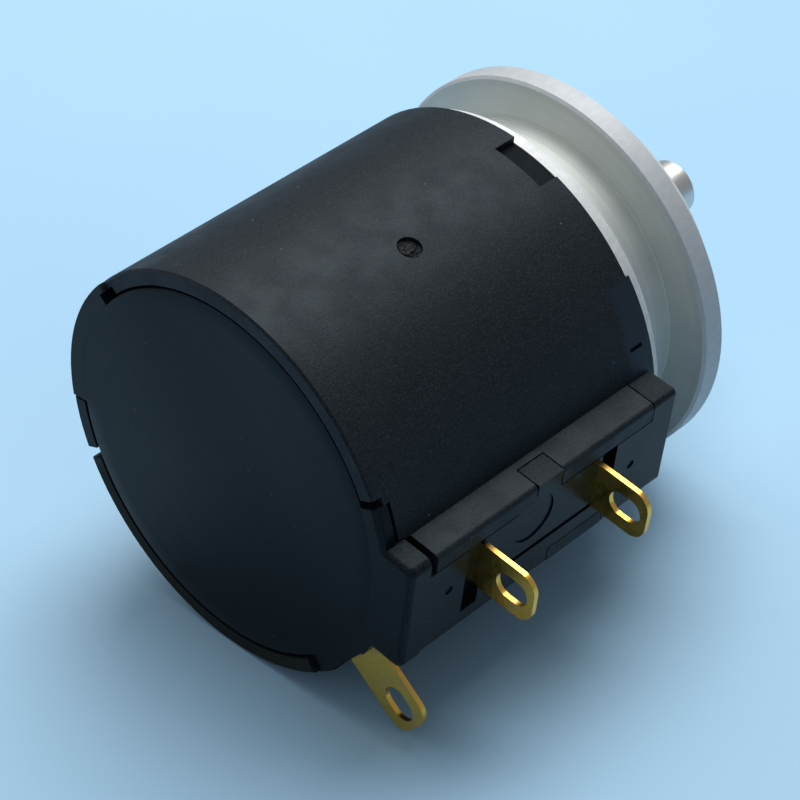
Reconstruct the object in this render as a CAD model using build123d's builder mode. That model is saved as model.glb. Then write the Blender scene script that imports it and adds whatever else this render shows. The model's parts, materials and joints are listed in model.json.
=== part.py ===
"""Ten-turn servo-mount precision potentiometer.

Origin: centre of the mounting flange's front face, on the shaft axis.
+X runs out along the shaft, +Z is up as the part lies on its side.
Lengths are in millimetres, angles in degrees from +Y towards +Z.
"""
import math
import os

from build123d import *

os.makedirs("parts", exist_ok=True)

# Servo flange, from the front face backwards. Steps are radial, in from the body.
body_d = 22.22
lip_thick = 1.5
groove_width = 3.15
groove_depth = 2.41
ring_width = 0.8
ring_step = 0.36
spigot_len = 0.75
pilot_height = 1.57
pilot_step = 1.585
flange_wall = 1.0
edge = 0.15

# Moulded housing.
housing_len = 19.5
wall = 1.0
seat_step = 0.16
rim_edge = 0.12
notch_len = 1.45
notch_depth = 0.45
notch_span = (97, 113.4)
step_len = 0.22
step_span = (113.4, 145)
slit_angle = 163
slit_len = 0.85
slit_width = 0.24
gate_r = 0.65
gate_depth = 0.2
gate_back = 0.7
gate_angle = 108.8

# Rear cover with the terminal bar.
cover_inset = 0.25
cover_thick = 1.8
cover_gap = 0.13
ear_thick = 0.77
ear_gap = 0.2
ear_notch = 0.85
ear_spans = ((-4.8, 42.3), (159.7, 172))
ear_cut = 2.4
lower_ear_span = (204, 235.8)
rim_gaps = ((-5.5, 43), (159.7, 171))
lower_gap_span = (171, 236.5)
ear_notch_span = (157.2, 160)
key_slot_span = (-24.5, -21)
seat_notch_span = (43, 45.6)
flush_span = (43, 157.2)
tab_thick = 1.35
tab_gap = 0.4
tab_round = 0.45
tab_edge = 0.35
tab_bottom = 3.75
ledge_height = 3.16
ledge_round = 0.3
face_top = 2.0
face_bottom = 3.2
bar_angle = 188.0
bar_depth = 1.1
block_back = 0.4
block_len = 1.65
tongue_ahead = 0.4
tongue_width = 1.9
hook_ahead = 4.2
hook_width = 4.0
hook_height = 0.8
joint_gap = 0.08
mark_depth = 0.08
mark_r = 1.45
pit_r = 0.25
pit_back = 2.5
channel_back = 1.25

# Solder lugs.
lug_thick = 0.28
lug_width = 3.0
lug_out = 3.4
lug_rounding = 1.0
lug_hole_len = 2.0
lug_hole_width = 1.45
lug_hole_from_tip = 1.4
lug_shift = 0.1
front_lug_back = 5.67
middle_lug_back = 13.87
rear_lug_angle = 220.5
rear_lug_out = 4.39
window_width = 1.1
window_depth = 0.5

# Shaft and its two ball bearings. The journal is the thicker part inside the body.
shaft_d = 3.175
journal_d = 3.967
shaft_reach = 9.4
shaft_chamfer = 0.3
bearing_d = 7.938
bearing_width = 2.779
bearing_recess = 0.79
ball_d = 1.19
ball_count = 7
ball_sides = 12
race_land = 0.48
race_fit = 0.03
cage_width = 1.7
cage_gap = 0.2
clip_thick = 0.4
clip_sink = 0.2
clip_wall = 0.76
clip_gap = 1.8
clip_shoulder = 0.2
snap_play = 0.05
snap_sink = 0.3
spring_space = 0.4
spring_wall = 0.15
rear_web = 0.7
boss_wall = 0.9

# Resistance helix, rotor and moving contact.
turns = 11
wire_size = 0.7
wire_fit = 0.02
end_gap = 0.65
end_play = 0.3
element_gap = 1.8
slot_width = 2.6
foot_width = 3.8
foot_height = 0.9
foot_wall = 0.35
slide_fit = 0.06
touch_gap = 0.03
head_half = 2.1
head_rise = 0.9
head_gap = 0.15
slider_back = 0.75
tooth_width = 0.38
tooth_len = 0.8
strip_thick = 0.2
strip_width = 0.6
strip_drop = 0.75
strip_side = 0.9
spring_thick = 0.12
finger_drop = 0.5
contact_r = 0.2
contact_height = 0.2
pin_width = 0.5
brush_width = 0.8
brush_tip = 0.3
ring_width_in = 1.4
pocket_len = 10.0
pocket_width = 4.0
pocket_floor = 1.0
lead_gap = 0.05
past = 1.0

# Stations along the shaft axis and radii that follow from the sizes above.
body_r = body_d / 2
groove_r = body_r - groove_depth
ring_r = body_r - ring_step
pilot_r = body_r - pilot_step
bore_r = body_r - wall
seat_r = bore_r + seat_step
disc_r = seat_r - cover_gap
shaft_r = shaft_d / 2
journal_r = journal_d / 2
brg_r = bearing_d / 2
ball_r = ball_d / 2
ball_chamfer = ball_r * (2 - math.sqrt(2))
race_r = (journal_r + brg_r) / 2
inner_land_r = race_r - race_land
outer_land_r = race_r + race_land
clip_groove_r = journal_r - clip_sink
x_lip = -lip_thick
x_groove = x_lip - groove_width
x_front = x_groove - ring_width
x_spigot = x_front - spigot_len
x_rim = x_front - housing_len
x_face = x_rim + cover_inset
x_ear = x_face + ear_thick
x_edge = x_ear + ear_gap
x_tab = x_face + tab_thick
x_ledge_rear = x_tab + tab_gap
x_plug = x_face + cover_thick
x_mid = (x_spigot + x_plug) / 2
pitch = (x_spigot - x_plug - 2 * end_gap) / turns
x_helix_front = x_spigot - end_gap
x_helix_rear = x_plug + end_gap
helix_r = bore_r - wire_size / 2 - wire_fit
helix_inner_r = helix_r - wire_size / 2
rotor_r = helix_inner_r - element_gap
rotor_angle = bar_angle - 180
x_rotor_front = x_spigot - end_play
x_rotor_rear = x_plug + end_play
x_brg_face = pilot_height - bearing_recess
x_brg_front = x_brg_face - bearing_width / 2
x_clip = pilot_height - clip_shoulder - clip_thick
clip_stations = (x_clip, x_brg_face - bearing_width - clip_thick)
x_spring_seat = x_face + rear_web
x_brg_rear = x_spring_seat + spring_space + bearing_width / 2
x_inner_rear = x_brg_rear + bearing_width / 2
x_shaft_end = x_spring_seat + cover_inset
x_boss = x_inner_rear - edge
x_hub = x_boss + end_play + edge
boss_r = brg_r + boss_wall
hub_r = boss_r + end_play
foot_floor = hub_r + foot_wall
foot_top = foot_floor + foot_height
lead_r = body_r + lead_gap
lead_top = lead_r + strip_thick
bar_inner = lead_top + lead_gap
bar_reach = bar_inner + bar_depth
x_bar_end = x_front - block_back
x_bar_front = x_bar_end - block_len
tongue_front = x_mid + tongue_ahead
tongue_rear = tongue_front - tongue_width
hook_front = x_mid + hook_ahead
hook_rear = hook_front - hook_width
hook_top = hook_height - face_bottom
front_lug_x = x_front - front_lug_back
middle_lug_x = x_front - middle_lug_back
rear_lug_x = x_tab
lug_reach = bar_reach + lug_out
lug_sides = (lug_shift - lug_width / 2, lug_shift + lug_width / 2)
rear_lug_root = rotor_r
rear_lug_reach = body_r + rear_lug_out
ring_outer = rotor_r - edge
ring_inner = ring_outer - ring_width_in
x_ring = x_rotor_rear + strip_thick
head_height = rotor_r + head_rise
tooth_side = head_half - tooth_len
x_tooth = x_mid + pitch / 2 + pitch * math.degrees(tooth_side / helix_r) / 360
x_slider_front = x_tooth + tooth_width / 2
wiper_height = helix_inner_r - touch_gap - contact_height
collector_side = head_half + strip_side
collector_top = rotor_r - strip_drop
collector_seat = collector_top - strip_thick
collector_edges = (collector_side - strip_width / 2, collector_side + strip_width / 2)


def radial(angle):
    """Unit vector across the shaft at an angle."""
    a = math.radians(angle)
    return (0, math.cos(a), math.sin(a))


def across(x, angle=bar_angle):
    """Plane across the shaft: local X is radial and an extrusion runs to the rear."""
    return Plane(origin=(x, 0, 0), x_dir=radial(angle), z_dir=(-1, 0, 0))


def outward(height, angle=bar_angle):
    """Plane facing outward at a height above the axis: local X is the shaft's."""
    _, y, z = radial(angle)
    return Plane(origin=(0, height * y, height * z), x_dir=(1, 0, 0), z_dir=(0, y, z))


def span(x_a, x_b, y_a, y_b):
    """Rectangle between two corners."""
    with Locations(((x_a + x_b) / 2, (y_a + y_b) / 2)):
        Rectangle(abs(x_b - x_a), abs(y_b - y_a))


def turned(*points, angles=(0, 360), mode=Mode.ADD):
    """Turn a closed outline of (x, radius) points about the shaft axis."""
    start, stop = angles
    with BuildSketch(outward(0, start + 90)) as profile:
        with BuildLine():
            Polyline(*points, close=True)
        make_face()
    revolve(profile.sketch, axis=Axis.X, revolution_arc=stop - start, mode=mode)


def tube(x_a, x_b, r_in, r_out, mode=Mode.ADD):
    """Ring about the shaft axis between two stations."""
    turned((x_a, r_in), (x_a, r_out), (x_b, r_out), (x_b, r_in), mode=mode)


def sector(x_a, x_b, r_in, r_out, angles, mode=Mode.ADD):
    """Part of a ring between two stations, x_b behind x_a, and two angles."""
    start, stop = angles
    with BuildSketch(Plane(origin=(x_b, 0, 0), x_dir=(0, 1, 0), z_dir=(1, 0, 0))) as face:
        with BuildLine():
            inner = CenterArc((0, 0), r_in, start, stop - start)
            outer = CenterArc((0, 0), r_out, start, stop - start)
            Line(inner @ 0, outer @ 0)
            Line(inner @ 1, outer @ 1)
        make_face()
    extrude(face.sketch, amount=x_a - x_b, mode=mode)


def bar(x_a, x_b, r_a, r_b, t_a, t_b, angle=bar_angle, mode=Mode.ADD):
    """Block given by stations, heights above the axis and offsets to the side."""
    with BuildSketch(outward(r_a, angle)) as face:
        span(x_a, x_b, t_a, t_b)
    extrude(face.sketch, amount=r_b - r_a, mode=mode)


def lug_plate(x, angle, root, reach, shift):
    """Flat solder lug across the shaft with a rounded tip and an oval eye."""
    with BuildSketch(across(x, angle)) as face:
        span(root, reach, shift - lug_width / 2, shift + lug_width / 2)
        fillet(face.vertices().group_by(Axis.X)[-1], lug_rounding)
        with Locations((reach - lug_hole_from_tip, shift)):
            SlotOverall(lug_hole_len, lug_hole_width, mode=Mode.SUBTRACT)
    extrude(face.sketch, amount=lug_thick)


def bent_strip(x, width, angle, *points):
    """Bent strip: outline of (height, offset) points, extruded along the shaft."""
    with BuildSketch(across(x + width / 2, angle)) as face:
        with BuildLine():
            Polyline(*points, close=True)
        make_face()
    extrude(face.sketch, amount=width)


# Housing: tube with a counterbore for the cover and a ledge beside the terminal bar.
with BuildPart() as housing:
    tube(x_front, x_rim, 0, body_r)
    chamfer(housing.edges().filter_by(GeomType.CIRCLE).group_by(Axis.X)[0], rim_edge)
    with BuildSketch(across(x_bar_front)) as ledge:
        span(bore_r - past, bar_reach, face_top + joint_gap, ledge_height)
        fillet(ledge.vertices().group_by(Axis.X)[-1].sort_by(Axis.Y)[-1], ledge_round)
    extrude(ledge.sketch, amount=x_bar_front - x_ledge_rear)
    bar(hook_rear, hook_front, bore_r - past, bar_reach, -face_bottom - joint_gap, hook_top)
    tongue_seat = (body_r - joint_gap, bar_reach + past, face_top - past, ledge_height + past)
    bar(tongue_rear, tongue_front, *tongue_seat, mode=Mode.SUBTRACT)
    tube(x_front + past, x_rim - past, 0, bore_r, Mode.SUBTRACT)
    tube(x_plug, x_rim - past, 0, seat_r, Mode.SUBTRACT)

    # Openings in the rear rim for the cover's ears, its tab and the rear lug.
    through = (x_rim - past, bore_r - past, body_r + past)
    for gap in rim_gaps:
        sector(x_edge, *through, gap, Mode.SUBTRACT)
    sector(x_rim + ear_notch, *through, ear_notch_span, Mode.SUBTRACT)
    sector(x_tab, *through, lower_gap_span, Mode.SUBTRACT)
    bar(x_rim, x_ledge_rear, bore_r, bar_reach + past, -tab_bottom, ledge_height, mode=Mode.SUBTRACT)
    sector(x_rim + wall, *through, key_slot_span, Mode.SUBTRACT)
    notch_room = (x_rim - past, bore_r - past, (seat_r + body_r) / 2)
    sector(x_rim + wall, *notch_room, seat_notch_span, Mode.SUBTRACT)

    # The upper stretch of the rim is cut back, level with the cover's face.
    turned(
        (x_rim - past, bore_r - past),
        (x_face, bore_r - past),
        (x_face, body_r - rim_edge),
        (x_face + rim_edge, body_r),
        (x_face + rim_edge, body_r + past),
        (x_rim - past, body_r + past),
        angles=flush_span,
        mode=Mode.SUBTRACT,
    )

    # Notches in the front rim, the sprue pit and the holes for the helix leads.
    notch_floor = body_r - notch_depth
    x_ahead = x_front + past
    sector(x_ahead, x_front - notch_len, notch_floor, body_r + past, notch_span, Mode.SUBTRACT)
    sector(x_ahead, x_front - step_len, notch_floor, body_r + past, step_span, Mode.SUBTRACT)
    x_slit = x_front - notch_len
    slit = (body_r - step_len, body_r + past, -slit_width / 2, slit_width / 2, slit_angle)
    bar(x_slit, x_slit + slit_len, *slit, Mode.SUBTRACT)
    with BuildSketch(outward(body_r - gate_depth, gate_angle)) as gate:
        with Locations((x_mid - gate_back, 0)):
            Circle(gate_r)
    extrude(gate.sketch, amount=past, mode=Mode.SUBTRACT)
    reach = pin_width / 2 + joint_gap
    for x, side in ((x_helix_front, -1), (x_helix_rear, 1)):
        hole = (bore_r - past, body_r + past, -side * joint_gap, side * (pin_width + joint_gap))
        bar(x - reach, x + reach, *hole, mode=Mode.SUBTRACT)

# Rear cover: disc with bearing boss, ears at the rim and the bar that holds the lugs.
with BuildPart() as terminal_cover:
    x_block = x_bar_front + joint_gap
    bar(x_tab, x_block + joint_gap, bore_r, bar_reach, -face_bottom, face_top)
    with BuildSketch(across(x_bar_end)) as block:
        span(bore_r - past, bar_reach, -face_bottom - joint_gap, ledge_height)
        fillet(block.vertices().group_by(Axis.X)[-1], ledge_round)
    extrude(block.sketch, amount=x_bar_end - x_block)
    tongue_span = (tongue_rear + joint_gap, tongue_front - joint_gap)
    bar(*tongue_span, body_r, bar_reach, face_top - past, ledge_height)
    tube(x_bar_end + past, x_tab, 0, body_r + joint_gap / 2, Mode.SUBTRACT)
    side = pin_width + joint_gap
    bar(x_tab, x_helix_front + pin_width, bore_r, bar_inner, -side, side, mode=Mode.SUBTRACT)
    hook_room = (bore_r, bar_reach + past, -face_bottom - past, hook_top + joint_gap)
    bar(hook_rear - joint_gap, hook_front + joint_gap, *hook_room, mode=Mode.SUBTRACT)
    for x in (front_lug_x, middle_lug_x):
        bar(x - lug_thick, x, bore_r, bar_reach + past, *lug_sides, mode=Mode.SUBTRACT)

    # Sunk window beside each lug, the channel between them and the moulding marks.
    window = (bar_reach - window_depth, bar_reach + past)
    x_low = front_lug_x + window_width
    bar(front_lug_x, x_low, *window, lug_sides[0], face_top + past, mode=Mode.SUBTRACT)
    x_low = middle_lug_x - lug_thick
    low = lug_sides[0] - past
    bar(x_low - window_width, x_low, *window, low, face_top + past, mode=Mode.SUBTRACT)
    channel = (bar_reach - 2 * mark_depth, bar_reach + past, lug_sides[0], lug_sides[0] + 2 * edge)
    bar(tongue_rear - channel_back, front_lug_x - lug_thick, *channel, mode=Mode.SUBTRACT)
    with BuildSketch(outward(bar_reach - mark_depth)) as marks:
        with Locations((tongue_rear, face_top / 2)):
            Circle(mark_r)
        with Locations((middle_lug_x - pit_back, 0), (front_lug_x + pit_back, -lug_thick)):
            Circle(pit_r)
    extrude(marks.sketch, amount=past, mode=Mode.SUBTRACT)

    # Disc, boss, ears and the tab at the end of the bar.
    tube(x_plug, x_face, 0, disc_r)
    tube(x_boss, x_plug, 0, boss_r)
    for ear in ear_spans:
        sector(x_ear, x_face, disc_r - past, body_r, ear)
    sector(x_tab, x_face, disc_r - past, body_r, lower_ear_span)
    with BuildSketch(across(x_tab)) as tab:
        span(disc_r - past, bar_reach, -tab_bottom, ledge_height)
        fillet(tab.vertices().group_by(Axis.X)[-1], tab_round)
    extrude(tab.sketch, amount=tab_thick)
    rear_edges = terminal_cover.faces().sort_by(Axis.X)[0].edges()
    fillet(rear_edges.filter_by(lambda e: e.center().Y < -disc_r - tab_round), tab_edge)
    raised = ear_spans[0]
    sector(x_face, x_rim, disc_r, body_r, raised)
    notch_room = (x_rim - past, disc_r, (seat_r + body_r) / 2)
    sector(x_ear, *notch_room, (raised[1] - ear_cut, raised[1] + past), Mode.SUBTRACT)
    tube(x_boss + past, x_spring_seat, 0, brg_r, Mode.SUBTRACT)
    half = lug_width / 2
    slot = (body_r + past, -half, half, rear_lug_angle, Mode.SUBTRACT)
    bar(rear_lug_x - lug_thick, rear_lug_x + past, rear_lug_root, *slot)
    bar(x_face - past, rear_lug_x, body_r - ear_gap, *slot)

# Servo flange: turned lid with mounting lip, groove, pilot boss and bearing seat.
with BuildPart() as servo_flange:
    turned(
        (pilot_height, 0),
        (pilot_height, pilot_r - 2 * edge),
        (pilot_height - 2 * edge, pilot_r),
        (0, pilot_r),
        (0, body_r - edge),
        (-edge, body_r),
        (x_lip + edge, body_r),
        (x_lip, body_r - edge),
        (x_lip, groove_r),
        (x_groove, groove_r),
        (x_groove, ring_r - edge),
        (x_groove - edge, ring_r),
        (x_front, ring_r),
        (x_front, bore_r - wire_fit),
        (x_spigot, bore_r - wire_fit),
        (x_spigot, 0),
    )
    tube(pilot_height + past, x_brg_face - bearing_width, 0, brg_r, Mode.SUBTRACT)
    tube(x_brg_face + clip_thick, x_brg_face, 0, brg_r + snap_sink, Mode.SUBTRACT)
    tube(x_brg_front, x_spigot - past, 0, outer_land_r + snap_play, Mode.SUBTRACT)
    recess = (brg_r + flange_wall, groove_r - flange_wall)
    tube(x_lip - lip_thick, x_spigot - past, *recess, Mode.SUBTRACT)

# Shaft: output end, then the thicker journal with two clip grooves.
with BuildPart() as shaft:
    turned(
        (shaft_reach, 0),
        (shaft_reach, shaft_r - shaft_chamfer),
        (shaft_reach - shaft_chamfer, shaft_r),
        (pilot_height, shaft_r),
        (pilot_height, journal_r),
        (x_shaft_end + shaft_chamfer, journal_r),
        (x_shaft_end, journal_r - shaft_chamfer),
        (x_shaft_end, 0),
    )
    for x in clip_stations:
        tube(x + clip_thick, x, clip_groove_r, journal_r + past, Mode.SUBTRACT)

# Open clips that hold the front bearing on the shaft, and the shim under the outer one.
with BuildPart() as shaft_clips:
    for x in clip_stations:
        tube(x + clip_thick, x, clip_groove_r, journal_r + clip_wall)
    opening = (0, brg_r, -clip_gap / 2, clip_gap / 2, 90, Mode.SUBTRACT)
    bar(clip_stations[1] - past, pilot_height + past, *opening)
with BuildPart() as shaft_shim:
    tube(x_clip, x_brg_face, journal_r, inner_land_r)

# Snap ring that holds the bearing in the flange.
with BuildPart() as bearing_snap_ring:
    tube(x_brg_face + clip_thick, x_brg_face, outer_land_r + edge, brg_r + snap_sink - snap_play)
    opening = (0, body_r, -clip_gap / 2, clip_gap / 2, 270, Mode.SUBTRACT)
    bar(x_brg_front, pilot_height, *opening)


def race(x, land, back, floor):
    """Bearing ring: ball track between two lands, and a plain back."""
    turned(
        (x - bearing_width / 2, land),
        (x - ball_r, land),
        (x - ball_r / 2, floor),
        (x + ball_r / 2, floor),
        (x + ball_r, land),
        (x + bearing_width / 2, land),
        (x + bearing_width / 2, back),
        (x - bearing_width / 2, back),
    )


bearing_nodes = {}
for end, x in (("front", x_brg_front), ("rear", x_brg_rear)):
    ball_plane = Plane(origin=(x, 0, 0), x_dir=(0, 1, 0), z_dir=(1, 0, 0))
    with BuildPart() as inner_race:
        race(x, inner_land_r, journal_r, race_r - ball_r - race_fit)
    with BuildPart() as outer_race:
        race(x, outer_land_r, brg_r, race_r + ball_r + race_fit)
    with BuildPart() as ball_set:
        with BuildSketch(ball_plane):
            with PolarLocations(race_r, ball_count):
                RegularPolygon(ball_r, ball_sides)
        extrude(amount=ball_r, both=True)
        rims = ball_set.edges().group_by(Axis.X)
        chamfer(rims[0] + rims[-1], ball_chamfer)
    with BuildPart() as cage:
        with BuildSketch(ball_plane):
            Circle(outer_land_r - cage_gap)
            Circle(inner_land_r + cage_gap, mode=Mode.SUBTRACT)
        extrude(amount=cage_width / 2, both=True)
        pocket = ball_d + 2 * race_fit
        with Locations(ball_plane):
            with PolarLocations(race_r, ball_count):
                Box(brg_r - journal_r, pocket, pocket, mode=Mode.SUBTRACT)
    bearing_nodes[end + "_bearing_inner"] = inner_race
    bearing_nodes[end + "_bearing_outer"] = outer_race
    bearing_nodes[end + "_bearing_balls"] = ball_set
    bearing_nodes[end + "_bearing_cage"] = cage

# Disc spring that pushes the rear bearing forward.
with BuildPart() as bearing_spring:
    turned(
        (x_spring_seat, race_r),
        (x_spring_seat + spring_wall, race_r),
        (x_spring_seat + spring_space, brg_r - snap_play),
        (x_spring_seat + spring_space - spring_wall, brg_r - snap_play),
    )

# Spacer between the rotor and the rear bearing.
with BuildPart() as shaft_spacer:
    tube(x_hub, x_inner_rear, journal_r, inner_land_r)

# Rotor: drum on the shaft with a guide slot for the slider.
with BuildPart() as rotor:
    tube(x_rotor_front, x_rotor_rear, journal_r, rotor_r)
    tube(x_hub, x_rotor_rear - past, 0, hub_r, Mode.SUBTRACT)
    front_recess = (inner_land_r + head_rise, hub_r - edge)
    x_recess = x_rotor_front - hook_width / 2
    tube(x_rotor_front + past, x_recess, *front_recess, Mode.SUBTRACT)
    with BuildSketch(across(x_rotor_front + past, rotor_angle)) as slot:
        span(foot_floor, foot_top, -foot_width / 2, foot_width / 2)
        span(foot_floor, rotor_r + past, -slot_width / 2, slot_width / 2)
    extrude(slot.sketch, amount=x_rotor_front - x_rotor_rear + 2 * past, mode=Mode.SUBTRACT)
    tube(x_ring, x_rotor_rear - past, ring_inner, rotor_r, Mode.SUBTRACT)
    groove = (collector_seat, rotor_r + past, *collector_edges)
    bar(x_ring - past, x_rotor_front + past, *groove, rotor_angle, Mode.SUBTRACT)
    pocket = (hub_r + pocket_floor, rotor_r + past, -pocket_width / 2, pocket_width / 2)
    for turn in (90, 180, 270):
        angle = rotor_angle + turn
        bar(x_mid - pocket_len / 2, x_mid + pocket_len / 2, *pocket, angle, Mode.SUBTRACT)

# Collector bar along the rotor and the slip ring that it feeds.
with BuildPart() as collector_bar:
    strip = (collector_seat, collector_top, *collector_edges)
    bar(x_ring, x_rotor_front - edge, *strip, rotor_angle)
with BuildPart() as slip_ring:
    tube(x_ring, x_rotor_rear, ring_inner, ring_outer)

# Slider: foot in the rotor's guide slot, head with a tooth between two helix turns.
with BuildPart() as slider_block:
    with BuildSketch(across(x_slider_front, rotor_angle)) as block:
        foot_half = foot_width / 2 - slide_fit
        neck_half = slot_width / 2 - slide_fit
        span(foot_floor + slide_fit, foot_top - slide_fit, -foot_half, foot_half)
        span(foot_floor + slide_fit, head_height, -neck_half, neck_half)
        span(rotor_r + head_gap, head_height, -head_half, head_half)
    extrude(block.sketch, amount=x_slider_front - x_mid + slider_back)
    tooth = (-tooth_side - tooth_len / 2, -tooth_side + tooth_len / 2)
    x_tooth_rear = x_tooth - tooth_width / 2
    bar(x_tooth_rear, x_slider_front, head_height, helix_r, *tooth, rotor_angle)

# Wiper spring and its contact on the helix, and the finger on the collector bar.
with BuildPart() as wiper_spring:
    bent_strip(
        x_mid,
        pin_width,
        rotor_angle,
        (head_height, head_half),
        (head_height + spring_thick, head_half),
        (head_height + spring_thick, head_half / 2),
        (wiper_height, contact_r),
        (wiper_height, -contact_r),
        (wiper_height - spring_thick, -contact_r),
        (wiper_height - spring_thick, contact_r),
        (head_height, head_half / 2 - spring_thick),
    )
with BuildPart() as wiper_contact:
    with Locations(outward(wiper_height, rotor_angle)):
        with Locations((x_mid, 0, 0)):
            on_strip = (Align.CENTER, Align.CENTER, Align.MIN)
            Cylinder(contact_r, contact_height, align=on_strip)
with BuildPart() as collector_finger:
    bent_strip(
        x_mid - pin_width / 2,
        strip_width,
        rotor_angle,
        (head_height - spring_thick, head_half),
        (head_height - spring_thick, head_half + spring_thick),
        (head_height - finger_drop, head_half + spring_thick),
        (collector_top + spring_thick, collector_side + spring_thick),
        (collector_top + touch_gap, collector_side + spring_thick),
        (collector_top + touch_gap, collector_side - spring_thick),
        (head_height - finger_drop - spring_thick, head_half),
    )

# Resistance helix against the housing bore.
coil = Helix(pitch, pitch * turns, helix_r, center=(x_helix_front, 0, 0), direction=(-1, 0, 0))
coil = Rot(bar_angle - 270, 0, 0) * coil
with BuildPart() as resistance_helix:
    with BuildSketch(Plane(origin=coil @ 0, x_dir=radial(bar_angle), z_dir=coil % 0)):
        Rectangle(wire_size, wire_size)
    sweep(path=coil, is_frenet=True)

# Leads under the terminal bar, from the helix ends to the lugs.
leads = {}
for name, lug_x, helix_x, side in (
    ("front_lead", front_lug_x - lug_thick / 2, x_helix_front, -1),
    ("rear_lead", middle_lug_x - lug_thick / 2, x_helix_rear, 1),
):
    step = pin_width / 2 if helix_x > lug_x else -pin_width / 2
    with BuildPart() as lead:
        bar(lug_x - step, helix_x + step, lead_r, lead_top, 0, side * pin_width)
        bar(helix_x - step, helix_x + step, helix_r, lead_top, 0, side * pin_width)
    leads[name] = lead

# Solder lugs: two in the bar, one behind the cover for the slip ring.
with BuildPart() as lug_front:
    lug_plate(front_lug_x, bar_angle, lead_top, lug_reach, lug_shift)
with BuildPart() as lug_middle:
    lug_plate(middle_lug_x, bar_angle, lead_top, lug_reach, lug_shift)
with BuildPart() as lug_rear:
    lug_plate(rear_lug_x, rear_lug_angle, rear_lug_root, rear_lug_reach, 0)

# Brush from the rear lug to the slip ring.
brush_plane = Plane(origin=(0, 0, 0), x_dir=(1, 0, 0), z_dir=radial(rear_lug_angle + 90))
with BuildPart() as slip_ring_brush:
    brush_reach = ring_inner + brush_tip
    x_touch = x_rotor_rear - touch_gap
    with BuildSketch(brush_plane) as side_view:
        with BuildLine():
            Polyline(
                (rear_lug_x, rear_lug_root + 2 * pin_width),
                (x_plug + spring_thick, rear_lug_root + 2 * pin_width),
                (x_plug + spring_thick, rear_lug_root + brush_tip),
                (x_touch, brush_reach + brush_tip),
                (x_touch, brush_reach),
                (x_touch - spring_thick, brush_reach),
                (x_plug, rear_lug_root),
                (x_plug, rear_lug_root + pin_width),
                (rear_lug_x, rear_lug_root + pin_width),
                close=True,
            )
        make_face()
    extrude(side_view.sketch, amount=brush_width / 2, both=True)

nodes = {
    "housing": housing,
    "terminal_cover": terminal_cover,
    "servo_flange": servo_flange,
    "shaft": shaft,
    "shaft_clips": shaft_clips,
    "shaft_shim": shaft_shim,
    "bearing_snap_ring": bearing_snap_ring,
    "bearing_spring": bearing_spring,
    "shaft_spacer": shaft_spacer,
    "rotor": rotor,
    "collector_bar": collector_bar,
    "slip_ring": slip_ring,
    "slider_block": slider_block,
    "wiper_spring": wiper_spring,
    "wiper_contact": wiper_contact,
    "collector_finger": collector_finger,
    "resistance_helix": resistance_helix,
    "lug_front": lug_front,
    "lug_middle": lug_middle,
    "lug_rear": lug_rear,
    "slip_ring_brush": slip_ring_brush,
    **bearing_nodes,
    **leads,
}
for name, node in nodes.items():
    node.part.label = name
    export_step(node.part, f"parts/{name}.step")
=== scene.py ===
"""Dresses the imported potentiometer: surfaces, floor, light and camera.

The scene is in metres in the model's own frame: the shaft runs along X and the
centre of the flange's front face is the origin. Constants and the arguments of
the helpers are in millimetres, and MM turns them into metres.
"""
import json
import math

import bpy
from mathutils import Matrix, Vector


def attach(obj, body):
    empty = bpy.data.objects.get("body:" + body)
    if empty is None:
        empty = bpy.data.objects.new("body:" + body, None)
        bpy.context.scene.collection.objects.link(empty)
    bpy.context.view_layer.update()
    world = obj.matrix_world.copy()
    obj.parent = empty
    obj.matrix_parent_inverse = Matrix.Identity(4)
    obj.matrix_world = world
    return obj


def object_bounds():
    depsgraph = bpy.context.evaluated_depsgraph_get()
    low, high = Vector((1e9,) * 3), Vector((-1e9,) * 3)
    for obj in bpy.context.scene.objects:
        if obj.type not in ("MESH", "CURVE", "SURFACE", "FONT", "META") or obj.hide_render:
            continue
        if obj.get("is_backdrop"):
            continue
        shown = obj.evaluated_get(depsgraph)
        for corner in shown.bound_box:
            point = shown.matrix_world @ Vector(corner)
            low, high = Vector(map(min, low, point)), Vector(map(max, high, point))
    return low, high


MM = 0.001

# The part.
BODY_RADIUS = 11.11
BAR_ANGLE = math.radians(188)
REARWARD = (-1.0, 0.0, 0.0)
BAR_OUTWARD = (0.0, math.cos(BAR_ANGLE), math.sin(BAR_ANGLE))
GATE = (-15.25, -3.52, 10.33)

# Skin on the rear cover. The ear's angles are in degrees from +Y towards +Z.
SKIN_PLANE = -24.71
SKIN_RISE = 0.235
SKIN_EDGE = 10.13
SKIN_ROUNDING = 0.09
SKIN_OVERLAP = 0.02
SKIN_SECTORS = 180
RISE_TOWARDS = math.radians(-30)
RISE_START = -5.5
RISE_LENGTH = 10
EAR_ABOVE = 40
EAR_BELOW = 5

# Colours that several surfaces share.
BLUISH = (0.72, 0.90, 1.0, 1.0)
DUST = (0.20, 0.21, 0.22)

# Floor, light and camera.
FLOOR_HALF = 1500
SKY_COLOUR = (0.86, 0.92, 1.0, 1.0)
SKY_STRENGTH = 0.32
LAMP_TARGET = (-10, 0, 0)
CAMERA_LENS = 132.85
CAMERA_PLACE = (-96.6278, -83.6033, 93.5407)
CAMERA_RIGHT = (0.6981949, -0.7158197, -0.0112258)
CAMERA_DOWN = (-0.4565619, -0.4331331, -0.7771402)
CAMERA_FORWARD = (0.55143, 0.5477206, -0.6292273)

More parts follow.
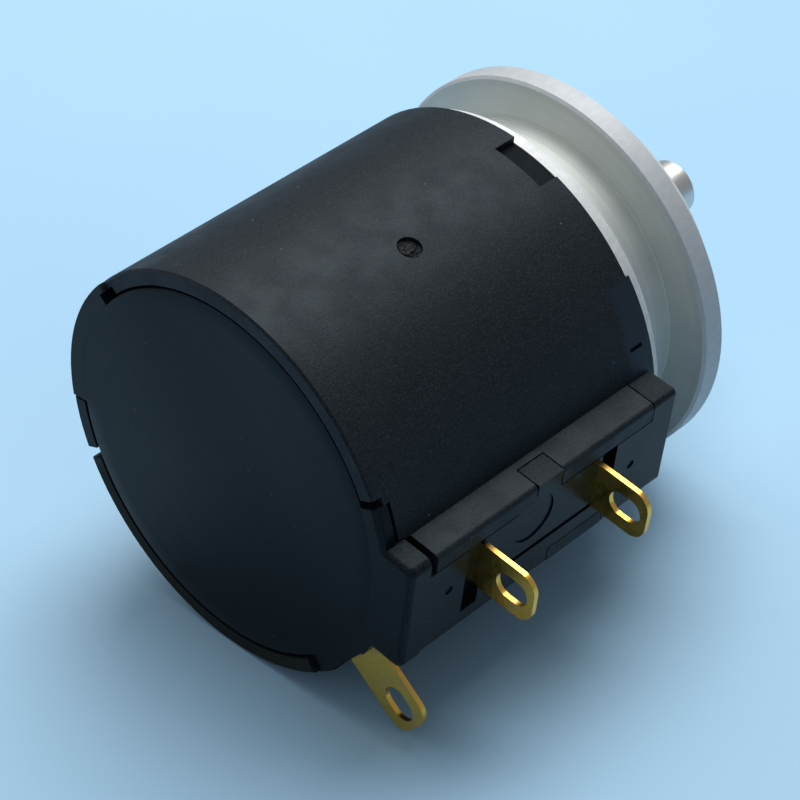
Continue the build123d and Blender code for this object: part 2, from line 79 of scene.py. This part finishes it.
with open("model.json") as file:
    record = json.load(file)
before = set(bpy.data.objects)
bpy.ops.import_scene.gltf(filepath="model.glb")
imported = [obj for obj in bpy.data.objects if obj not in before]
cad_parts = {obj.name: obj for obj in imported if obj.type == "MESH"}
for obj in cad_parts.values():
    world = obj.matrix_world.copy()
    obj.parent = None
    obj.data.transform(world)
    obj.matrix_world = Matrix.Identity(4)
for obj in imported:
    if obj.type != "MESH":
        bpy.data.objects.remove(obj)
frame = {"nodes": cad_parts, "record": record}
cad_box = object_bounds()


class Surface:
    """A procedural material and short ways to wire its nodes."""

    def __init__(self, name, metallic=0.0, **constants):
        self.material = bpy.data.materials.new(name)
        self.material.use_nodes = True
        self.tree = self.material.node_tree
        self.shader = self.tree.nodes["Principled BSDF"]
        self.shader.inputs["Metallic"].default_value = metallic
        for socket, value in constants.items():
            self.shader.inputs[socket.replace("_", " ")].default_value = value
        coordinates = self.tree.nodes.new("ShaderNodeTexCoord")
        self.place = coordinates.outputs["Object"]
        self.normal = coordinates.outputs["Normal"]
        parts = self.node("ShaderNodeSeparateXYZ", {0: self.place})
        self.x, self.y, self.z = parts.outputs

    def node(self, kind, inputs=(), **settings):
        """New node with its settings and its inputs, each a value or an output."""
        made = self.tree.nodes.new(kind)
        for name, value in settings.items():
            setattr(made, name, value)
        for key, value in dict(inputs).items():
            if isinstance(value, bpy.types.NodeSocket):
                self.tree.links.new(value, made.inputs[key])
            else:
                made.inputs[key].default_value = value
        return made

    def math(self, operation, *values):
        return self.node("ShaderNodeMath", enumerate(values), operation=operation).outputs[0]

    def vector(self, operation, *values, output=0):
        made = self.node("ShaderNodeVectorMath", enumerate(values), operation=operation)
        return made.outputs[output]

    def times(self, first, *others):
        """Product of values and outputs."""
        for other in others:
            first = self.math("MULTIPLY", first, other)
        return first

    def inverse(self, factor):
        """1 where the factor is 0, and 0 where it is 1."""
        return self.math("SUBTRACT", 1.0, factor)

    def ramp(self, value, low, high, start=0.0, end=1.0):
        """Value carried from low..high to start..end, held at both ends."""
        made = self.node(
            "ShaderNodeMapRange",
            {"Value": value, "From Min": low, "From Max": high, "To Min": start, "To Max": end},
            interpolation_type="SMOOTHSTEP",
        )
        return made.outputs["Result"]

    def above(self, length, low, high):
        """0 below low and 1 above high."""
        return self.ramp(length, low * MM, high * MM)

    def below(self, length, low, high):
        """1 below low and 0 above high."""
        return self.ramp(length, low * MM, high * MM, 1.0, 0.0)

    def facing(self, direction, low=0.8, high=0.95):
        """1 on faces that look in a direction."""
        share = self.vector("DOT_PRODUCT", self.normal, direction, output="Value")
        return self.ramp(share, low, high)

    def radius(self):
        """Distance from the shaft's axis."""
        across = self.vector("MULTIPLY", self.place, (0, 1, 1))
        return self.vector("LENGTH", across, output="Value")

    def near(self, point, inner, outer, ragged=0.0):
        """1 near a point, falling to 0 between two distances from it."""
        there = tuple(c * MM for c in point)
        distance = self.vector("DISTANCE", self.place, there, output="Value")
        return self.below(self.math("ADD", distance, ragged), inner, outer)

    def turning(self):
        """Coordinates that change only along the shaft and with the distance from it."""
        made = self.node("ShaderNodeCombineXYZ", {"X": self.x, "Y": self.radius()})
        return made.outputs[0]

    def noise(self, size, detail=3.0, vector=None, stretch=(1, 1, 1)):
        """Noise with features of about that size, finer along a stretched axis."""
        factors = [s / (size * MM) for s in stretch]
        where = self.vector("MULTIPLY", vector or self.place, factors)
        made = self.node("ShaderNodeTexNoise", {"Vector": where, "Scale": 1.0, "Detail": detail})
        return made.outputs["Fac"]

    def cells(self, size):
        """Distance to the nearest of scattered points that far apart, in cells."""
        where = self.vector("MULTIPLY", self.place, [1 / (size * MM)] * 3)
        made = self.node("ShaderNodeTexVoronoi", {"Vector": where, "Scale": 1.0}, feature="F1")
        return made.outputs["Distance"]

    def mix(self, factor, a, b):
        """Colour mix of two colours, each a triple or an output."""
        a, b = [(*c, 1.0) if isinstance(c, tuple) else c for c in (a, b)]
        made = self.node("ShaderNodeMix", {"Factor": factor}, data_type="RGBA")
        for socket, colour in (("A_Color", a), ("B_Color", b)):
            target = next(i for i in made.inputs if i.identifier == socket)
            if isinstance(colour, bpy.types.NodeSocket):
                self.tree.links.new(colour, target)
            else:
                target.default_value = colour
        return next(o for o in made.outputs if o.identifier == "Result_Color")

    def bump(self, height, depth, below=None):
        """Normal from a height output and the depth of its full range."""
        inputs = {"Height": height, "Strength": 1.0, "Distance": depth * MM}
        if below is not None:
            inputs["Normal"] = below
        return self.node("ShaderNodeBump", inputs).outputs["Normal"]

    def finish(self, colour, roughness, normal=None, metallic=None):
        """Wires the shader, with values or outputs, and gives the material."""
        wanted = {
            "Base Color": colour,
            "Roughness": roughness,
            "Normal": normal,
            "Metallic": metallic,
        }
        for socket, value in wanted.items():
            target = self.shader.inputs[socket]
            if isinstance(value, bpy.types.NodeSocket):
                self.tree.links.new(value, target)
            elif value is not None:
                target.default_value = value
        return self.material


def dusty(surface, colour, amount):
    """Fine dust specks and a faint haze over a dark colour."""
    specks = surface.ramp(surface.cells(1.3), 0.035, 0.06, amount, 0.0)
    haze = surface.ramp(surface.noise(5.0, 5), 0.45, 0.75, 0.0, 0.01)
    return surface.mix(surface.math("MAXIMUM", specks, haze), colour, DUST)


def moulding():
    """Black moulded plastic with an eroded grain."""
    s = Surface("moulding", Specular_IOR_Level=0.2, Specular_Tint=BLUISH)
    grain = s.noise(0.10, 2)
    coarse = s.noise(1.6, 3)
    rearward = s.facing(REARWARD, 0.7, 0.9)

    # Walls that lie deeper than the skin, apart from the rim's rear face, are darker: painted
    # shade in the recesses.
    rim_face = s.times(rearward, s.below(s.x, -24.65, -24.55))
    shaded_recess = s.times(s.below(s.radius(), 10.75, 10.95), s.inverse(rim_face))
    level = s.math("SUBTRACT", s.ramp(grain, 0.4, 0.72), s.times(shaded_recess, 0.6))
    colour = s.mix(level, (0.0045, 0.006, 0.008), (0.0135, 0.0175, 0.0215))
    # Painted glints: light specks in the colour stand in for glints off the grain, kept off the
    # deeper walls.
    painted_glints = s.times(s.ramp(s.noise(0.09, 1), 0.68, 0.78), s.inverse(shaded_recess))
    colour = s.mix(painted_glints, colour, (0.035, 0.039, 0.043))

    # The gate mark is torn.
    ragged = s.times(s.noise(0.35, 3), 0.6 * MM)
    gate = s.near(GATE, 0.40, 0.95, ragged)
    ash = s.ramp(s.noise(0.16, 2), 0.45, 0.62)
    ash = s.mix(ash, (0.002, 0.002, 0.003), (0.05, 0.05, 0.045))
    colour = s.mix(gate, dusty(s, colour, 0.3), ash)
    torn = s.times(s.noise(0.32, 4), gate)

    # The low part of the rim is olive and dull.
    low_rim = s.times(s.below(s.z, -5.5, -4.3), rearward)
    colour = s.mix(s.times(low_rim, 0.7), colour, (0.018, 0.018, 0.013))
    # Painted shade: the deeper walls are darkened further.
    colour = s.mix(s.times(shaded_recess, 0.35), colour, (0.001, 0.0015, 0.002))
    dull = s.math("MAXIMUM", s.times(low_rim, 0.3), s.times(shaded_recess, 0.3))

    # A band along the front edge above the terminal bar is smoother, with a painted bluish
    # reflection in its colour.
    front = s.times(s.below(s.y, -7, -6), s.above(s.x, -7.3, -6.8))
    reflection_band = s.times(front, s.below(s.z, 6.2, 6.4), s.above(s.z, 0.5, 1.5))
    colour = s.mix(s.times(reflection_band, 0.8), colour, (0.011, 0.019, 0.028))
    dull = s.math("SUBTRACT", dull, s.times(reflection_band, 0.12))

    roughness = s.math("ADD", s.ramp(coarse, 0.3, 0.7, 0.50, 0.60), dull)
    normal = s.bump(torn, 0.6, s.bump(grain, 0.010, s.bump(coarse, 0.010)))
    return s.finish(colour, roughness, normal)


def cover():
    """The same plastic, polished on the rear face and on the bar's face."""
    s = Surface("cover", Specular_IOR_Level=0.10, Specular_Tint=BLUISH)
    polished = s.math("MAXIMUM", s.facing(REARWARD), s.facing(BAR_OUTWARD))
    grain = s.times(s.noise(0.11, 3), s.inverse(s.times(polished, 0.85)))
    wave = s.noise(2.4, 2)
    colour = s.mix(s.ramp(grain, 0.35, 0.7), (0.003, 0.0045, 0.006), (0.013, 0.017, 0.021))
    satin = s.ramp(wave, 0.3, 0.7, 0.42, 0.48)
    roughness = s.math("SUBTRACT", satin, s.times(polished, 0.18))
    normal = s.bump(grain, 0.022, s.bump(wave, 0.01))
    return s.finish(dusty(s, colour, 0.2), roughness, normal)


def flange():
    """Turned aluminium, satin, with fine rings from the tool."""
    s = Surface("flange")
    rings = s.turning()
    fine = s.noise(0.07, 2, rings)
    broad = s.noise(0.7, 3, rings)
    blotch = s.noise(4.0, 4)
    colour = s.mix(s.ramp(blotch, 0.3, 0.7), (0.62, 0.64, 0.615), (0.70, 0.72, 0.69))
    colour = s.mix(s.ramp(broad, 0.35, 0.65, 0.0, 0.35), colour, (0.50, 0.52, 0.505))

    # The lip's outside and the ring behind the groove are duller and streaked.
    lip = s.above(s.radius(), 10.9, 11.0)
    ring = s.below(s.x, -4.68, -4.62)
    streaks = s.ramp(s.noise(0.35, 5, stretch=(0.6, 1, 1)), 0.3, 0.75)
    worn = s.mix(streaks, (0.41, 0.43, 0.445), (0.45, 0.47, 0.48))
    bright = s.mix(streaks, (0.55, 0.56, 0.56), (0.63, 0.64, 0.635))
    colour = s.mix(ring, s.mix(lip, colour, worn), bright)
    metallic = s.math("SUBTRACT", 0.85, s.times(s.math("MAXIMUM", lip, ring), 0.4))

    # A fine painted highlight runs round the foot of the lip, where a rounded corner would catch
    # the light.
    foot = s.times(s.above(s.radius(), 8.71, 8.73), s.below(s.radius(), 8.77, 8.80))
    foot_highlight = s.times(foot, s.below(s.x, -1.1, -1.0), 0.8)
    colour = s.mix(foot_highlight, colour, (0.92, 0.92, 0.88))

    satin = s.ramp(blotch, 0.3, 0.7, 0.58, 0.66)
    roughness = s.math("ADD", satin, s.ramp(fine, 0.3, 0.7, 0.0, 0.08))
    normal = s.bump(fine, 0.010, s.bump(broad, 0.025))
    return s.finish(colour, roughness, normal, metallic)


def ground_steel(name, tone, fine_size=0.05):
    """Steel ground on centres: fine rings and faint stains."""
    s = Surface(name, metallic=1.0)
    fine = s.noise(fine_size, 2, s.turning())
    stain = s.noise(1.5, 4)
    darker = tuple(0.8 * c for c in tone)
    colour = s.mix(s.ramp(stain, 0.4, 0.75), tone, darker)
    return s.finish(colour, s.ramp(fine, 0.3, 0.7, 0.30, 0.42), s.bump(fine, 0.003))


def plated(name, tone, worn, rough=(0.2, 0.34)):
    """Plated strip metal: rolled lines, faint stains and duller patches."""
    s = Surface(name, metallic=1.0)
    rolled = s.noise(0.25, 3, stretch=(3, 1, 0.3))
    stain = s.noise(1.1, 4)
    colour = s.mix(s.ramp(stain, 0.45, 0.75), tone, worn)
    return s.finish(colour, s.ramp(stain, 0.3, 0.7, *rough), s.bump(rolled, 0.01))


def wound(name, fine_turns=620.0):
    """Resistance winding: fine turns across the carrier wire."""
    s = Surface(name, metallic=1.0)
    angle = s.math("ARCTAN2", s.z, s.y)
    wave = s.math("SINE", s.times(angle, fine_turns))
    colour = s.mix(s.ramp(wave, -0.6, 0.6), (0.16, 0.13, 0.10), (0.56, 0.50, 0.42))
    return s.finish(colour, 0.34, s.bump(wave, 0.02))


def inner_plastic(name, tone, darker):
    """Moulded inner part: faint flow lines and a soft sheen."""
    s = Surface(name)
    flow = s.noise(1.4, 3, stretch=(0.3, 1, 1))
    grain = s.noise(0.2, 3)
    colour = s.mix(s.ramp(flow, 0.35, 0.7), tone, darker)
    return s.finish(colour, s.ramp(grain, 0.3, 0.7, 0.38, 0.5), s.bump(grain, 0.015))


def dress():
    """Gives each node the material of its slot, and returns the materials."""
    finishes = {
        "moulding": moulding(),
        "cover": cover(),
        "flange": flange(),
        "shaft": ground_steel("shaft", (0.66, 0.64, 0.61)),
        "spring_steel": ground_steel("spring_steel", (0.36, 0.35, 0.35)),
        "bearing_steel": ground_steel("bearing_steel", (0.58, 0.58, 0.58)),
        "ball_steel": ground_steel("ball_steel", (0.72, 0.72, 0.72), 0.4),
        "spacer": ground_steel("spacer", (0.66, 0.50, 0.25)),
        "rotor": inner_plastic("rotor", (0.10, 0.07, 0.045), (0.06, 0.04, 0.03)),
        "slider": inner_plastic("slider", (0.70, 0.66, 0.56), (0.60, 0.56, 0.46)),
        "contact_metal": plated("contact_metal", (0.74, 0.52, 0.26), (0.60, 0.40, 0.20)),
        "resistance_wire": wound("resistance_wire"),
        "lug": plated("lug", (0.88, 0.52, 0.09), (0.72, 0.44, 0.13), (0.22, 0.36)),
        "cage": plated("cage", (0.66, 0.52, 0.28), (0.55, 0.42, 0.22)),
    }
    for part in frame["record"]["subparts"]:
        mesh = frame["nodes"][part["node"]].data
        mesh.materials.clear()
        mesh.materials.append(finishes[part["material_slot"]])
    return finishes


def mesh_object(name, points, faces, material):
    """Object from points in millimetres, with flat faces."""
    mesh = bpy.data.meshes.new(name)
    mesh.from_pydata([tuple(c * MM for c in point) for point in points], [], faces)
    mesh.validate()
    mesh.materials.append(material)
    made = bpy.data.objects.new(name, mesh)
    bpy.context.scene.collection.objects.link(made)
    return made


def skin_level(y, z):
    """X of the skin's surface: it rises smoothly towards the ear."""
    along = y * math.cos(RISE_TOWARDS) + z * math.sin(RISE_TOWARDS)
    share = min(max((along - RISE_START) / RISE_LENGTH, 0.0), 1.0)
    return SKIN_PLANE - SKIN_RISE * share * share * (3 - 2 * share)


def skin_rings():
    """Rings of points from the skin's middle to its rounded edge and underside."""
    profile = [(SKIN_EDGE * share, 0.0) for share in (0.15, 0.3, 0.45, 0.6, 0.75, 0.9)]
    for bend in (math.radians(angle) for angle in (0, 25, 50, 75, 90)):
        inset = SKIN_ROUNDING * (1 - math.sin(bend))
        profile.append((SKIN_EDGE - inset, SKIN_ROUNDING * (1 - math.cos(bend))))
    profile.append((SKIN_EDGE, None))
    for radius, drop in profile:
        ring = []
        for sector in range(SKIN_SECTORS):
            degrees = sector * 360 / SKIN_SECTORS
            at_ear = (degrees + EAR_BELOW) % 360 < EAR_ABOVE + EAR_BELOW
            reach = radius + (SKIN_OVERLAP if at_ear and drop != 0.0 else 0.0)
            angle = math.radians(degrees)
            y, z = reach * math.cos(angle), reach * math.sin(angle)
            if drop is None:
                x = SKIN_PLANE + SKIN_ROUNDING
            else:
                x = skin_level(y, z) + (0.0 if at_ear else drop)
            ring.append((x, y, z))
        yield ring


def cover_face(material):
    """Skin on the rear cover that brings it level with the ear and the rim beside it."""
    rings = list(skin_rings())
    points = [(skin_level(0, 0), 0, 0)] + [point for ring in rings for point in ring]
    steps = [(k, (k + 1) % SKIN_SECTORS) for k in range(SKIN_SECTORS)]
    faces = [(0, 1 + ahead, 1 + k) for k, ahead in steps]
    for inner in range(1, 1 + SKIN_SECTORS * (len(rings) - 1), SKIN_SECTORS):
        outer = inner + SKIN_SECTORS
        faces += [(inner + k, inner + ahead, outer + ahead, outer + k) for k, ahead in steps]
    last = len(points) - SKIN_SECTORS
    faces.append(tuple(range(last, len(points))))
    made = mesh_object("cover_face", points, faces, material)
    for face in made.data.polygons:
        face.use_smooth = len(face.vertices) < SKIN_SECTORS
    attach(made, "stator")


def floor():
    """Pale plain table under the housing."""
    s = Surface("table")
    tone = s.ramp(s.noise(60.0, 2), 0.3, 0.7)
    material = s.finish(s.mix(tone, (0.31, 0.52, 0.70), (0.34, 0.55, 0.72)), 0.65)
    signs = ((-1, -1), (1, -1), (1, 1), (-1, 1))
    corners = [(a * FLOOR_HALF, b * FLOOR_HALF, 0) for a, b in signs]
    table = mesh_object("table", corners, [(0, 1, 2, 3)], material)
    table.location.z = -BODY_RADIUS * MM
    table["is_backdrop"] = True


def lamp(name, place, size, power):
    """Soft square lamp, aimed at the part."""
    data = bpy.data.lights.new(name, "AREA")
    data.size = size * MM
    data.energy = power
    made = bpy.data.objects.new(name, data)
    made.location = Vector(place) * MM
    aim = Vector(LAMP_TARGET) - Vector(place)
    made.rotation_euler = aim.to_track_quat("-Z", "Y").to_euler()
    bpy.context.scene.collection.objects.link(made)


def sky():
    """Even pale surroundings."""
    world = bpy.data.worlds.new("surroundings")
    bpy.context.scene.world = world
    world.use_nodes = True
    background = world.node_tree.nodes["Background"]
    background.inputs["Color"].default_value = SKY_COLOUR
    background.inputs["Strength"].default_value = SKY_STRENGTH


def camera():
    """The photograph's place and angle."""
    data = bpy.data.cameras.new("camera")
    data.lens = CAMERA_LENS
    data.clip_start = 10 * MM
    made = bpy.data.objects.new("camera", data)
    axes = (Vector(CAMERA_RIGHT), -Vector(CAMERA_DOWN), -Vector(CAMERA_FORWARD))
    turn = Matrix(axes).transposed().to_4x4()
    made.matrix_world = Matrix.Translation(Vector(CAMERA_PLACE) * MM) @ turn
    bpy.context.scene.collection.objects.link(made)
    bpy.context.scene.camera = made


materials = dress()
cover_face(materials["cover"])
floor()
lamp("top", (70, 50, 210), 190, 0.68)
lamp("side", (-60, 230, 160), 120, 0.12)
sky()
camera()
bpy.context.scene.view_settings.view_transform = "Standard"

visual_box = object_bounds()
boxes = {"cad": cad_box, "visual": visual_box}
{name: [list(corner) for corner in box] for name, box in boxes.items()}
